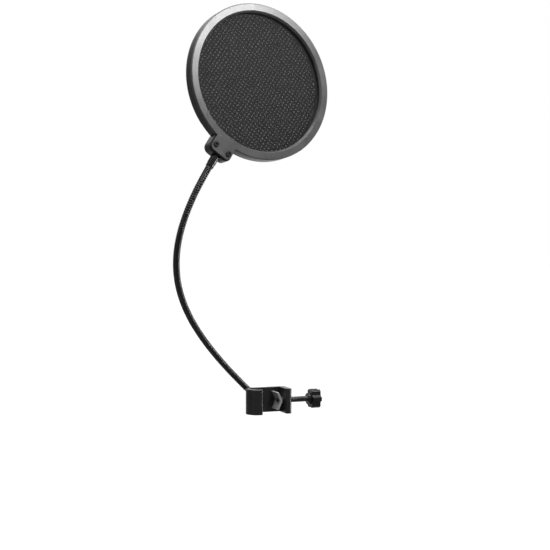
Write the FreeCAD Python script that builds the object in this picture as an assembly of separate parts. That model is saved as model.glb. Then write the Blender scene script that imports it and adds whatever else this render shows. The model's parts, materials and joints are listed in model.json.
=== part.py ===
"""Pop filter: a double mesh hoop on a gooseneck, held by a screw clamp on a vertical tube.

Millimetres, +Z up along the held tube, +X along the clamp screw towards its knob, -Y towards the talker.
The origin is on the tube's axis at half the clamp's height. Each sub-part is written to parts/NODE.step.
"""
import FreeCAD, Part
import math
import os

V = FreeCAD.Vector
X = V(1, 0, 0)
Y = V(0, 1, 0)
Z = V(0, 0, 1)
ORIGIN = V(0, 0, 0)

# ---- clearances -------------------------------------------------------------------------------
RUN_GAP = 0.05         # radial gap of a pin or stub that turns in a hole
SET_GAP = 0.02         # radial gap of a pin that stays put in a hole
FACE_GAP = 0.10        # axial gap between faces that turn or slide past each other
POCKET_GAP = 0.15      # gap round a part let into a pocket
MOVE_GAP = 0.30        # gap between moving pieces that are no fit
OVER = 1.0             # how far shapes that are joined or cut run into or past each other

# ---- clamp ------------------------------------------------------------------------------------
TUBE_R = 8.0           # tube that the seat fits
CLAMP_H = 26.5         # height along the tube
WALL = 3.8             # hook and back plate
BACK_GAP = 0.45        # from the tube to the inside of the back plate
PAD_INSET = 1.0        # pad's ends below the clamp's ends
SEAT_FRONT = 53.0      # degrees of seat in front of the screw's axis
SEAT_REAR = 70.0       # degrees of seat behind it
ARM_T = 6.7            # screw's arm
CORNER_R = 3.0         # outer corner between back plate and arm
TIP_R = 1.5            # rounding of the hook's tip
TIP_FLAT = 0.485       # straight between the hook's bend and that rounding
EDGE_R = 0.5           # small rounding along the clamp's ends

# ---- clamp screw, pressure plate and knob -----------------------------------------------------
SCREW_R = 3.0          # M6
PITCH = 1.0
BUSH_WALL = 1.25
GRIP_GAP = 4.4         # from the tube to the plate's lips as stored
BACKOFF = 2.4          # from the washer to the screw's arm as stored
PLATE_H = 18.0
PLATE_T = 2.0
PLATE_SLOPE = 24.0     # degrees of each wing from upright
PLATE_SIDE_GAP = 0.35  # to the back plate, which keeps the plate from turning
SPOT_DEPTH = 0.3       # spot face in the bottom of the groove
RIDGE_CUT = 0.5        # flat filed on the ridge under the washer
HEAD_LIP = 0.9         # peened end of the screw, outside the journal
HEAD_T = 0.8
WASHER_LIP = 2.3       # thrust washer outside the journal
WASHER_T = 0.8
KNOB_STANDOFF = 21.9   # bare screw between arm and knob as stored
HUB_R = 6.0
HUB_L = 3.0
KNOB_R = 10.5
KNOB_L = 10.0
LOBES = 6
FLUTE_R = 3.3
FLUTE_DEPTH = 2.5
KNOB_EDGE = 0.9        # rounding along the lobes
KNOB_RIM = 0.63        # and round the knob's two ends
INSERT_WALL = 1.5
INSERT_L = 8.0
SCREW_IN_KNOB = 10.0

# ---- pivot between clamp and gooseneck --------------------------------------------------------
BOLT_R = 2.0           # M4 countersunk
BOLT_HEAD_LIP = 1.9
BOLT_END = 0.8         # past the nut
BOSS_R = 5.0
FRICTION_WASHER_T = 0.8
LUG_T = 4.4
LUG_W = 8.0
NUT_AF = 7.0
NUT_T = 4.2
NUT_WASHER_LIP = 2.5
NUT_WASHER_T = 0.8
FERRULE_WALL = 0.65
FERRULE_CLEAR = 0.35   # from its barrel to the clamp's back
EYE_TO_BARREL = 0.5
BARREL_FLOOR = 1.5
SOCKET_DEPTH = 7.0

# ---- gooseneck --------------------------------------------------------------------------------
NECK_R = 3.55
WIRE_T = 1.4           # wall of the winding
CORE_T = 0.8           # wall of the inner spring
CORE_GAP = 0.05
LINKS = 8
NECK_RISE = 44.0       # degrees above level where it leaves the clamp, towards -X
START_PULL = 130.9     # how far the neck keeps its direction at each end
END_PULL = 108.9

# ---- hoop -------------------------------------------------------------------------------------
HOOP_CENTRE = V(-19.4, -37.9, 328.5)
HOOP_TURN = 11.25      # degrees about Z
HOOP_TILT = 8.78       # degrees that the front looks up
EAR_TURN = 36.7        # degrees of the ear from straight down, towards -X
HOOP_R = 80.4
HOOP_BAND = 8.0        # radial width seen from the back
HOOP_T = 12.0
BEZEL_LIP = 1.0        # bezel's inner edge inside the band
BEZEL_BEVEL_W = 1.6
BEZEL_BEVEL_H = 2.1
BEZEL_SIDE = 3.0       # bezel's depth at the outside
HOOP_ROUND = 1.0
SHELL_WALL = 2.5
MESH_FROM_FRONT = 4.7
MESH_T = 0.4
SPACER_T = 3.6
SPACER_W = 3.6
MESH_INSET = 0.5       # mesh edge to the shell's wall
PART_GROOVE = 0.35     # small groove where bezel and shell meet

# ---- ear --------------------------------------------------------------------------------------
EAR_RIM = 4.0          # from the screws' centres to the sides
EAR_OUT = 14.3         # plate's outer side, from the hoop's outside
EAR_OVERLAP = 4.6      # plate over the bezel, at the middle
EAR_SIDE_LAP = 0.4     # and at its sides
EAR_CORNER = 5.0
EAR_MARGIN = 1.4       # body larger than the plate
EAR_PLATE_RISE = 1.0   # in front of the bezel
EAR_SPLIT = 0.4        # gap between plate and body
STUB_R = 3.5
FLANGE_STEP = 0.5
FLANGE_L = 2.6
FLANGE_FROM = 1.2      # from the hoop's outside
FLANGE_PLAY = 0.2
EAR_SCREW_R = 1.5      # M3
EAR_SCREW_HEAD_R = 2.75
EAR_SCREW_HEAD_H = 1.8
EAR_SCREW_SINK = 0.6
EAR_SCREW_SHORT = 0.4   # end of the screws, in front of the ear's back
EAR_SCREW_AT = 8.0     # from the hoop's outside
EAR_SCREW_LAND = 1.75  # between the stub and the nuts
EAR_KEY_AF = 2.0
EAR_KEY_DEPTH = 1.2
EAR_NUT_AF = 5.5
EAR_NUT_T = 2.4
EAR_NUT_INSET = 0.1
TOP_FERRULE_WALL = 0.75
TOP_FERRULE_L = 8.4
TOP_COLLAR_WALL = 0.45
TOP_COLLAR_L = 4.0
TOP_GAP = 0.4          # from the ear to the ferrule
TOP_SOCKET = 9.0

# ---- places worked out from the sizes ---------------------------------------------------------
INNER_Y = TUBE_R + BACK_GAP
OUTER_Y = INNER_Y + WALL
TIP_X = -TUBE_R * math.cos(math.radians(SEAT_FRONT))
HOOK_X = TIP_X - TIP_R - TIP_FLAT
SLOPE = math.tan(math.radians(PLATE_SLOPE))
GROOVE_X = TUBE_R + GRIP_GAP + PLATE_H / 2 * SLOPE
RIDGE_X = GROOVE_X + PLATE_T / math.cos(math.radians(PLATE_SLOPE))
WASHER_X = RIDGE_X - RIDGE_CUT + FACE_GAP
SHOULDER_X = WASHER_X + WASHER_T + FACE_GAP
ARM_X0 = WASHER_X + WASHER_T + BACKOFF
ARM_X1 = ARM_X0 + ARM_T
BUSH_R = SCREW_R + BUSH_WALL
JOURNAL_R = SCREW_R - PITCH
HEAD_R = JOURNAL_R + HEAD_LIP
WASHER_R = JOURNAL_R + WASHER_LIP
INSERT_AF = 2 * (SCREW_R + INSERT_WALL)
HEAD_X = GROOVE_X + SPOT_DEPTH - FACE_GAP
KNOB_X = ARM_X1 + KNOB_STANDOFF
BOLT_HEAD_R = BOLT_R + BOLT_HEAD_LIP
NUT_WASHER_R = BOLT_R + NUT_WASHER_LIP
SOCKET_R = NECK_R + RUN_GAP
FERRULE_R = SOCKET_R + FERRULE_WALL
FERRULE_FROM = BOSS_R + EYE_TO_BARREL
FERRULE_TO = FERRULE_FROM + BARREL_FLOOR + SOCKET_DEPTH
BOSS_H = FERRULE_R + FERRULE_CLEAR - LUG_T / 2 - FACE_GAP - FRICTION_WASHER_T
FRICTION_Y = OUTER_Y + BOSS_H
LUG_Y0 = FRICTION_Y + FRICTION_WASHER_T + FACE_GAP
PIVOT = V(0, LUG_Y0 + LUG_T / 2, 0)
NUT_WASHER_Y = LUG_Y0 + LUG_T + FACE_GAP
NUT_Y = NUT_WASHER_Y + NUT_WASHER_T
NECK_OUT = V(-math.cos(math.radians(NECK_RISE)), 0, math.sin(math.radians(NECK_RISE)))
CORE_R = NECK_R - WIRE_T - CORE_GAP
CORE_BORE = CORE_R - CORE_T

# Hoop frame: x along the ear's tangent, y from front to back, -z out through the ear.
HOOP_TURNED = (FreeCAD.Rotation(Z, HOOP_TURN) * FreeCAD.Rotation(X, -HOOP_TILT)
               * FreeCAD.Rotation(Y, EAR_TURN))
HOOP_PLACE = FreeCAD.Placement(HOOP_CENTRE, HOOP_TURNED)
EAR_DIR = HOOP_TURNED.multVec(V(0, 0, -1))
FRONT_Y = -HOOP_T / 2
FLANGE_R = STUB_R + FLANGE_STEP
PLATE_Y0 = FRONT_Y - EAR_PLATE_RISE
PLATE_Y1 = -(FLANGE_R + FLANGE_PLAY)
EAR_SCREW_SPREAD = STUB_R + EAR_SCREW_LAND + EAR_NUT_AF / 2
EAR_HALF_W = EAR_SCREW_SPREAD + EAR_RIM
EAR_BODY_Y = PLATE_Y1 + EAR_SPLIT
EAR_FACE = HOOP_R + EAR_OUT + EAR_MARGIN
FERRULE_IN = EAR_FACE + TOP_GAP
TOP_FERRULE_R = SOCKET_R + TOP_FERRULE_WALL
TOP_COLLAR_R = SOCKET_R + TOP_COLLAR_WALL
NECK_END = FERRULE_IN + TOP_FERRULE_L + TOP_COLLAR_L
HOOP_IN = HOOP_R - HOOP_BAND
SHELL_IN = HOOP_R - SHELL_WALL
MESH_R = SHELL_IN - MESH_INSET
MESH_Y = FRONT_Y + MESH_FROM_FRONT


# ---- helpers ----------------------------------------------------------------------------------
def cylinder(radius, length, base, axis):
    return Part.makeCylinder(radius, length, base, axis)


def ring(outer, inner, length, base, axis):
    return cylinder(outer, length, base, axis).cut(cylinder(inner, length, base, axis))


def hexagon(across_flats, length, base, axis):
    """A hexagonal prism that stands on base along axis."""
    corner = across_flats / math.sqrt(3)
    turn = FreeCAD.Rotation(Z, axis)
    angles = [k * math.pi / 3 for k in range(7)]
    points = [base + turn.multVec(V(corner * math.cos(a), corner * math.sin(a), 0)) for a in angles]
    return Part.Face(Part.makePolygon(points)).extrude(axis * length)


def outline_face(edges):
    return Part.Face(Part.Wire(Part.__sortEdges__(edges)))


def line(a, b):
    return Part.LineSegment(a, b).toShape()


def arc(a, middle, b):
    return Part.Arc(a, middle, b).toShape()


def turned(profile):
    """Revolves a closed outline of (radius, y) points about the hoop's axis."""
    points = [V(r, y, 0) for r, y in profile]
    return Part.Face(Part.makePolygon(points + points[:1])).revolve(ORIGIN, Y, 360)


def round_circles(shape, radius, circles):
    """Rounds the circular edges of the given (radius, y) about the hoop's axis."""
    edges = []
    for edge in shape.Edges:
        if not isinstance(edge.Curve, Part.Circle):
            continue
        for r, y in circles:
            if abs(edge.Curve.Radius - r) < 0.01 and abs(edge.CenterOfMass.y - y) < 0.01:
                edges.append(edge)
    return shape.makeFillet(radius, edges)


# ---- clamp ------------------------------------------------------------------------------------
def clamp_outline():
    """The C seen along the tube: hook at -X, mouth towards -Y, screw's arm at +X."""
    arm_r = ARM_T / 2
    left_out = V(HOOK_X - OUTER_Y, 0, 0)
    left_in = V(HOOK_X - INNER_Y, 0, 0)
    bend = CORNER_R * (1 - math.sqrt(0.5))
    tip_bend = TIP_R * (1 - math.sqrt(0.5))
    return outline_face([
        arc(V(HOOK_X, OUTER_Y, 0), left_out, V(HOOK_X, -OUTER_Y, 0)),
        line(V(HOOK_X, -OUTER_Y, 0), V(TIP_X - TIP_R, -OUTER_Y, 0)),
        arc(V(TIP_X - TIP_R, -OUTER_Y, 0), V(TIP_X - tip_bend, -OUTER_Y + tip_bend, 0),
            V(TIP_X, -OUTER_Y + TIP_R, 0)),
        line(V(TIP_X, -OUTER_Y + TIP_R, 0), V(TIP_X, -INNER_Y, 0)),
        line(V(TIP_X, -INNER_Y, 0), V(HOOK_X, -INNER_Y, 0)),
        arc(V(HOOK_X, -INNER_Y, 0), left_in, V(HOOK_X, INNER_Y, 0)),
        line(V(HOOK_X, INNER_Y, 0), V(ARM_X0, INNER_Y, 0)),
        line(V(ARM_X0, INNER_Y, 0), V(ARM_X0, -OUTER_Y + arm_r, 0)),
        arc(V(ARM_X0, -OUTER_Y + arm_r, 0), V(ARM_X0 + arm_r, -OUTER_Y, 0), V(ARM_X1, -OUTER_Y + arm_r, 0)),
        line(V(ARM_X1, -OUTER_Y + arm_r, 0), V(ARM_X1, OUTER_Y - CORNER_R, 0)),
        arc(V(ARM_X1, OUTER_Y - CORNER_R, 0), V(ARM_X1 - bend, OUTER_Y - bend, 0),
            V(ARM_X1 - CORNER_R, OUTER_Y, 0)),
        line(V(ARM_X1 - CORNER_R, OUTER_Y, 0), V(HOOK_X, OUTER_Y, 0)),
    ])


def bolt_head():
    """The cone under the pivot bolt's flat head, let into the back plate from inside."""
    depth = BOLT_HEAD_R - BOLT_R
    return Part.makeCone(BOLT_HEAD_R, BOLT_R, depth, V(0, INNER_Y, 0), Y)


def clamp_body():
    low = V(0, 0, -CLAMP_H / 2)
    body = clamp_outline().translated(low).extrude(Z * CLAMP_H)
    ends = [e for e in body.Edges if abs(abs(e.BoundBox.ZMax + e.BoundBox.ZMin) - CLAMP_H) < 0.01]
    body = body.makeFillet(EDGE_R, ends)
    body = body.fuse(cylinder(BOSS_R, BOSS_H + WALL / 2, V(0, OUTER_Y - WALL / 2, 0), Y))
    body = body.cut(cylinder(BUSH_R, ARM_T, V(ARM_X0, 0, 0), X))
    body = body.cut(cylinder(BOLT_R + SET_GAP, WALL + BOSS_H, V(0, INNER_Y, 0), Y))
    return body.cut(bolt_head()).removeSplitter()


def clamp_pad():
    """Rubber that fills the hook, with a round seat for the tube."""
    half = CLAMP_H / 2 - PAD_INSET
    rear = math.radians(SEAT_REAR)
    front = math.radians(SEAT_FRONT)
    rear_lip = V(-TUBE_R * math.cos(rear), TUBE_R * math.sin(rear), 0)
    front_lip = V(-TUBE_R * math.cos(front), -TUBE_R * math.sin(front), 0)
    face = outline_face([
        arc(rear_lip, V(-TUBE_R, 0, 0), front_lip),
        line(front_lip, V(front_lip.x, -INNER_Y, 0)),
        line(V(front_lip.x, -INNER_Y, 0), V(HOOK_X, -INNER_Y, 0)),
        arc(V(HOOK_X, -INNER_Y, 0), V(HOOK_X - INNER_Y, 0, 0), V(HOOK_X, INNER_Y, 0)),
        line(V(HOOK_X, INNER_Y, 0), V(rear_lip.x, INNER_Y, 0)),
        line(V(rear_lip.x, INNER_Y, 0), rear_lip),
    ])
    return face.translated(V(0, 0, -half)).extrude(Z * 2 * half)


def thread_bush():
    return ring(BUSH_R, SCREW_R + RUN_GAP, ARM_T, V(ARM_X0, 0, 0), X)


def pressure_plate():
    """A sheet bent to a shallow V whose lips meet the tube above and below the screw."""
    half = PLATE_H / 2
    lip = GROOVE_X - half * SLOPE
    back = RIDGE_X - half * SLOPE
    width = 2 * (INNER_Y - PLATE_SIDE_GAP)
    profile = [(lip, -half), (GROOVE_X, 0), (lip, half), (back, half), (RIDGE_X, 0), (back, -half)]
    points = [V(x, -width / 2, z) for x, z in profile]
    plate = Part.Face(Part.makePolygon(points + points[:1])).extrude(Y * width)
    spot = cylinder(HEAD_R + MOVE_GAP, PLATE_H, V(GROOVE_X + SPOT_DEPTH - PLATE_H, 0, 0), X)
    flat = Part.makeBox(PLATE_T, width, PLATE_H, V(RIDGE_X - RIDGE_CUT, -width / 2, -half))
    hole = cylinder(JOURNAL_R + RUN_GAP, PLATE_H, V(GROOVE_X - PLATE_H / 2, 0, 0), X)
    return plate.cut(spot).cut(flat).cut(hole)


def thrust_washer():
    return ring(WASHER_R, JOURNAL_R + RUN_GAP, WASHER_T, V(WASHER_X, 0, 0), X)


def clamp_screw():
    """Threaded rod, with a journal through washer and plate and a peened end in the groove."""
    rod = cylinder(SCREW_R, KNOB_X + SCREW_IN_KNOB - SHOULDER_X, V(SHOULDER_X, 0, 0), X)
    journal = cylinder(JOURNAL_R, SHOULDER_X - HEAD_X, V(HEAD_X, 0, 0), X)
    head = cylinder(HEAD_R, HEAD_T, V(HEAD_X - HEAD_T, 0, 0), X)
    return rod.fuse(journal).fuse(head).removeSplitter()


def knob_insert_solid():
    return hexagon(INSERT_AF, INSERT_L, V(KNOB_X + HUB_L / 2, 0, 0), X)


def knob_insert():
    return knob_insert_solid().cut(cylinder(SCREW_R + SET_GAP, INSERT_L, V(KNOB_X + HUB_L / 2, 0, 0), X))


def knob():
    grip_x = KNOB_X + HUB_L
    grip = cylinder(KNOB_R, KNOB_L, V(grip_x, 0, 0), X)
    for k in range(LOBES):
        angle = 2 * math.pi * (k + 0.5) / LOBES
        away = KNOB_R - FLUTE_DEPTH + FLUTE_R
        at = V(grip_x - OVER, away * math.cos(angle), away * math.sin(angle))
        grip = grip.cut(cylinder(FLUTE_R, KNOB_L + 2 * OVER, at, X))
    grip = grip.makeFillet(KNOB_EDGE, [e for e in grip.Edges if e.BoundBox.XLength > KNOB_L / 2])
    rims = [e for e in grip.Edges if e.BoundBox.XLength < 0.01]
    grip = grip.makeFillet(KNOB_RIM, rims)
    grip = grip.fuse(cylinder(HUB_R, HUB_L + OVER, V(KNOB_X, 0, 0), X))
    grip = grip.cut(cylinder(SCREW_R + SET_GAP, SCREW_IN_KNOB, V(KNOB_X, 0, 0), X))
    return grip.cut(knob_insert_solid())


# ---- pivot ------------------------------------------------------------------------------------
def pivot_bolt():
    length = NUT_Y + NUT_T + BOLT_END - INNER_Y
    return cylinder(BOLT_R, length, V(0, INNER_Y, 0), Y).fuse(bolt_head()).removeSplitter()


def friction_washer():
    return ring(BOSS_R, BOLT_R + SET_GAP, FRICTION_WASHER_T, V(0, FRICTION_Y, 0), Y)


def nut_washer():
    return ring(NUT_WASHER_R, BOLT_R + SET_GAP, NUT_WASHER_T, V(0, NUT_WASHER_Y, 0), Y)


def pivot_nut():
    base = V(0, NUT_Y, 0)
    return hexagon(NUT_AF, NUT_T, base, Y).cut(cylinder(BOLT_R + SET_GAP, NUT_T, base, Y))


def lower_ferrule():
    """A barrel on the end of the gooseneck with a flat eye round the pivot bolt."""
    eye = cylinder(BOSS_R, LUG_T, PIVOT - Y * (LUG_T / 2), Y)
    reach = FERRULE_FROM + OVER
    tongue = Part.makeBox(reach, LUG_T, LUG_W, V(0, -LUG_T / 2, -LUG_W / 2))
    tongue.Placement = FreeCAD.Placement(PIVOT, FreeCAD.Rotation(X, NECK_OUT))
    barrel = cylinder(FERRULE_R, FERRULE_TO - FERRULE_FROM, PIVOT + NECK_OUT * FERRULE_FROM, NECK_OUT)
    mouth = PIVOT + NECK_OUT * FERRULE_TO
    socket = cylinder(SOCKET_R, SOCKET_DEPTH, mouth - NECK_OUT * SOCKET_DEPTH, NECK_OUT)
    hole = cylinder(BOLT_R + RUN_GAP, LUG_T, PIVOT - Y * (LUG_T / 2), Y)
    return eye.fuse([tongue, barrel]).cut(socket).cut(hole).removeSplitter()


# ---- gooseneck --------------------------------------------------------------------------------
def neck_curve(t):
    """The gooseneck's centre line: a cubic with a pull along the direction of each end."""
    start = PIVOT + NECK_OUT * FERRULE_TO
    end = HOOP_CENTRE + EAR_DIR * NECK_END
    pulls = [start, start + NECK_OUT * START_PULL, end + EAR_DIR * END_PULL, end]
    weights = [(1 - t) ** 3, 3 * (1 - t) ** 2 * t, 3 * (1 - t) * t ** 2, t ** 3]
    at = V(0, 0, 0)
    for pull, weight in zip(pulls, weights):
        at += pull * weight
    return at


def neck_points(count):
    """Points that cut the centre line into count equal lengths."""
    steps = 2000
    line_points = [neck_curve(i / steps) for i in range(steps + 1)]
    run = [0.0]
    for a, b in zip(line_points, line_points[1:]):
        run.append(run[-1] + a.distanceToPoint(b))
    out = []
    i = 0
    for k in range(count + 1):
        while i < steps and run[i] < run[-1] * k / count - 1e-9:
            i += 1
        out.append(line_points[i])
    return out


def middle_of_arc(start, way, end):
    """The middle of the arc to end that leaves start along way."""
    chord = end - start
    along = V(chord).normalize()
    side = (way - along * way.dot(along)).normalize()
    return start + chord / 2 + side * (chord.Length / 2 * math.tan(way.getAngle(chord) / 2))


def neck_link(start, middle, end, radius, bore, into_start, into_end):
    """One length of gooseneck: round tube along an arc.

    Its end is a ball about the joint there and its start a cup about the joint before it. The first
    and last lengths run straight into their ferrules instead, along into_start and into_end.
    """
    path = arc(start, middle, end)
    circle = path.Curve
    sweep = math.degrees(path.LastParameter - path.FirstParameter)
    first = path.tangentAt(path.FirstParameter)
    last = path.tangentAt(path.LastParameter)

    def run(r):
        disc = Part.Face(Part.Wire(Part.Circle(start, first, r).toShape()))
        return disc.revolve(circle.Center, circle.Axis, sweep)

    solid = run(radius)
    hollow = run(bore)
    if into_start:
        solid = solid.fuse(cylinder(radius, into_start.Length, start, into_start))
        hollow = hollow.fuse(cylinder(bore, into_start.Length, start, into_start))
    else:
        cup = NECK_R + MOVE_GAP
        solid = solid.cut(Part.makeSphere(cup, start))
        hollow = hollow.fuse(cylinder(bore, cup, start - first * cup / 2, first))
    if into_end:
        solid = solid.fuse(cylinder(radius, into_end.Length, end, into_end))
        hollow = hollow.fuse(cylinder(bore, into_end.Length, end, into_end))
    else:
        ball = Part.makeSphere(NECK_R, end, last, 0, 90, 360)
        if radius < NECK_R:
            ball = ball.common(cylinder(radius, 2 * NECK_R, end, last))
        solid = solid.fuse(ball)
        hollow = hollow.fuse(cylinder(bore, 2 * NECK_R, end, last))
    return solid.cut(hollow).removeSplitter()


def gooseneck():
    """The wound outer wire and the inner spring, cut into lengths that bend at balls and cups."""
    points = neck_points(2 * LINKS)
    out = {}
    for k in range(LINKS):
        start, middle, end = points[2 * k:2 * k + 3]
        into_start = into_end = None
        if k == 0:
            into_start = NECK_OUT * (FACE_GAP - SOCKET_DEPTH)
            middle = middle_of_arc(start, NECK_OUT, end)
        if k == LINKS - 1:
            into_end = EAR_DIR * (FACE_GAP - TOP_SOCKET)
            middle = middle_of_arc(end, EAR_DIR, start)
        out[f"neck_winding_{k + 1}"] = neck_link(start, middle, end, NECK_R, CORE_R + CORE_GAP,
                                                 into_start, into_end)
        out[f"neck_core_{k + 1}"] = neck_link(start, middle, end, CORE_R, CORE_BORE, into_start, into_end)
    return out


# ---- hoop -------------------------------------------------------------------------------------
def ear_outline(margin, inner_radius):
    """Rounded tab outside the hoop, in the hoop frame; its inner side bulges to inner_radius."""
    half = EAR_HALF_W + margin
    out = HOOP_R + EAR_OUT + margin
    corner = EAR_CORNER + margin
    side = HOOP_R - EAR_SIDE_LAP
    bend = corner * (1 - math.sqrt(0.5))
    return outline_face([
        arc(V(-half, 0, -side), V(0, 0, -inner_radius), V(half, 0, -side)),
        line(V(half, 0, -side), V(half, 0, -out + corner)),
        arc(V(half, 0, -out + corner), V(half - bend, 0, -out + bend), V(half - corner, 0, -out)),
        line(V(half - corner, 0, -out), V(-half + corner, 0, -out)),
        arc(V(-half + corner, 0, -out), V(-half + bend, 0, -out + bend), V(-half, 0, -out + corner)),
        line(V(-half, 0, -out + corner), V(-half, 0, -side)),
    ])


def ear_slab(margin, y0, y1):
    return ear_outline(margin, HOOP_R - EAR_OVERLAP - margin).translated(V(0, y0, 0)).extrude(Y * (y1 - y0))


def along_ear(radius, near, far):
    """A cylinder on the stub's axis between two distances from the hoop's centre."""
    return cylinder(radius, far - near, V(0, 0, -near), V(0, 0, -1))


def stub_channel():
    """Space for the stub and its flange, open to the front so that they can be laid in."""
    channel = along_ear(STUB_R + RUN_GAP, HOOP_R + FLANGE_FROM, EAR_FACE + OVER)
    slot_w = 2 * (STUB_R + RUN_GAP)
    near = HOOP_R + FLANGE_FROM
    far = EAR_FACE + OVER
    slot = Part.makeBox(slot_w, HOOP_T, far - near, V(-slot_w / 2, -HOOP_T, -far))
    pocket_near = HOOP_R + FLANGE_FROM - FLANGE_PLAY
    pocket_far = pocket_near + FLANGE_L + 2 * FLANGE_PLAY
    pocket_r = FLANGE_R + FACE_GAP
    pocket = along_ear(pocket_r, pocket_near, pocket_far)
    way = Part.makeBox(2 * pocket_r, HOOP_T, pocket_far - pocket_near, V(-pocket_r, -HOOP_T, -pocket_far))
    return channel.fuse([slot, pocket, way])


def ear_screw_spots():
    radial = HOOP_R + EAR_SCREW_AT
    return [V(side * EAR_SCREW_SPREAD, 0, -radial) for side in (-1, 1)]


def front_bezel():
    """Front ring: a flat band with a bevel down to the mesh, and a rim that plugs into the rear shell."""
    inside = HOOP_IN - BEZEL_LIP
    side_y = FRONT_Y + BEZEL_SIDE
    plug = SHELL_IN - FACE_GAP
    bezel = turned([
        (inside, MESH_Y), (inside, FRONT_Y + BEZEL_BEVEL_H), (inside + BEZEL_BEVEL_W, FRONT_Y),
        (HOOP_R, FRONT_Y), (HOOP_R, side_y - PART_GROOVE), (HOOP_R - PART_GROOVE, side_y),
        (plug, side_y), (plug, MESH_Y),
    ])
    bezel = round_circles(bezel, HOOP_ROUND, [(HOOP_R, FRONT_Y)])
    pocket = ear_slab(POCKET_GAP, PLATE_Y0, PLATE_Y1)
    return bezel.cut(pocket)


def rear_shell():
    """Rear ring with the ear, which holds the stub's channel and the nuts."""
    back = HOOP_T / 2
    side_y = FRONT_Y + BEZEL_SIDE
    floor = MESH_Y + 2 * MESH_T + SPACER_T
    shell = turned([
        (HOOP_IN, back), (HOOP_IN, floor), (SHELL_IN, floor), (SHELL_IN, side_y),
        (HOOP_R - PART_GROOVE, side_y), (HOOP_R, side_y + PART_GROOVE), (HOOP_R, back),
    ])
    shell = round_circles(shell, HOOP_ROUND, [(HOOP_R, back)])
    ear = ear_slab(EAR_MARGIN, EAR_BODY_Y, back)
    ear = ear.cut(cylinder(HOOP_R - PART_GROOVE, HOOP_T, V(0, FRONT_Y, 0), Y))
    ear = ear.cut(cylinder(HOOP_R + FACE_GAP, side_y - FRONT_Y, V(0, FRONT_Y, 0), Y))
    shell = shell.fuse(ear).cut(stub_channel())
    for spot in ear_screw_spots():
        shell = shell.cut(cylinder(EAR_SCREW_R + FACE_GAP, 2 * HOOP_T, spot - Y * HOOP_T, Y))
        shell = shell.cut(hexagon(EAR_NUT_AF + 2 * SET_GAP, EAR_NUT_T + EAR_NUT_INSET,
                                  spot + Y * (back - EAR_NUT_T - EAR_NUT_INSET), Y))
    return shell.removeSplitter()


def mesh_front():
    return cylinder(MESH_R, MESH_T, V(0, MESH_Y, 0), Y)


def spacer_ring():
    return ring(MESH_R, MESH_R - SPACER_W, SPACER_T, V(0, MESH_Y + MESH_T, 0), Y)


def mesh_rear():
    return cylinder(MESH_R, MESH_T, V(0, MESH_Y + MESH_T + SPACER_T, 0), Y)


def ear_plate():
    """Front plate of the ear, with a rib that closes the stub's channel."""
    plate = ear_slab(0, PLATE_Y0, PLATE_Y1)
    rib_w = 2 * STUB_R - 2 * FACE_GAP
    near = HOOP_R + FLANGE_FROM + FLANGE_L + 2 * FLANGE_PLAY
    far = HOOP_R + EAR_OUT
    rib = Part.makeBox(rib_w, -(STUB_R + RUN_GAP) - PLATE_Y1, far - near, V(-rib_w / 2, PLATE_Y1, -far))
    plate = plate.fuse(rib)
    for spot in ear_screw_spots():
        plate = plate.cut(cylinder(EAR_SCREW_R + FACE_GAP, HOOP_T, spot + Y * PLATE_Y0, Y))
        plate = plate.cut(cylinder(EAR_SCREW_HEAD_R + FACE_GAP, EAR_SCREW_SINK, spot + Y * PLATE_Y0, Y))
    return plate.removeSplitter()


def ear_screws():
    """Two cap screws with hexagon sockets."""
    seat_y = PLATE_Y0 + EAR_SCREW_SINK
    length = HOOP_T / 2 - EAR_SCREW_SHORT - seat_y
    out = []
    for spot in ear_screw_spots():
        top = spot + Y * (seat_y - EAR_SCREW_HEAD_H)
        screw = cylinder(EAR_SCREW_HEAD_R, EAR_SCREW_HEAD_H, top, Y)
        screw = screw.fuse(cylinder(EAR_SCREW_R, length, spot + Y * seat_y, Y))
        out.append(screw.cut(hexagon(EAR_KEY_AF, EAR_KEY_DEPTH, top, Y)).removeSplitter())
    return Part.makeCompound(out)


def ear_nuts():
    out = []
    for spot in ear_screw_spots():
        base = spot + Y * (HOOP_T / 2 - EAR_NUT_INSET - EAR_NUT_T)
        out.append(hexagon(EAR_NUT_AF, EAR_NUT_T, base, Y)
                   .cut(cylinder(EAR_SCREW_R + SET_GAP, EAR_NUT_T, base, Y)))
    return Part.makeCompound(out)


def top_ferrule():
    """Barrel on the gooseneck's end, with a stub and flange that turn in the ear."""
    near = HOOP_R + FLANGE_FROM
    ferrule = along_ear(FLANGE_R, near, near + FLANGE_L).fuse([
        along_ear(STUB_R, near, FERRULE_IN + OVER),
        along_ear(TOP_FERRULE_R, FERRULE_IN, FERRULE_IN + TOP_FERRULE_L),
        along_ear(TOP_COLLAR_R, FERRULE_IN + TOP_FERRULE_L - OVER, NECK_END),
    ])
    return ferrule.cut(along_ear(SOCKET_R, NECK_END - TOP_SOCKET, NECK_END)).removeSplitter()


# ---- everything -------------------------------------------------------------------------------
CLAMP_PARTS = (clamp_body, clamp_pad, thread_bush, pressure_plate, thrust_washer, clamp_screw, knob_insert,
               knob, pivot_bolt, friction_washer, nut_washer, pivot_nut, lower_ferrule)
HOOP_PARTS = (front_bezel, rear_shell, mesh_front, spacer_ring, mesh_rear, ear_plate, ear_screws, ear_nuts,
              top_ferrule)


def build():
    shapes = {make.__name__: make() for make in CLAMP_PARTS}
    shapes.update(gooseneck())
    for make in HOOP_PARTS:
        shape = make()
        shape.Placement = HOOP_PLACE.multiply(shape.Placement)
        shapes[make.__name__] = shape
    return shapes


os.makedirs("parts", exist_ok=True)
for name, shape in build().items():
    solids = shape.Solids
    if not shape.isValid() or not solids:
        raise ValueError(f"{name} is not a valid solid")
    if len(solids) == 1:
        shape = solids[0]
    shape.exportStep(f"parts/{name}.step")
    print(name, len(solids), round(shape.Volume, 1))
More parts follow.
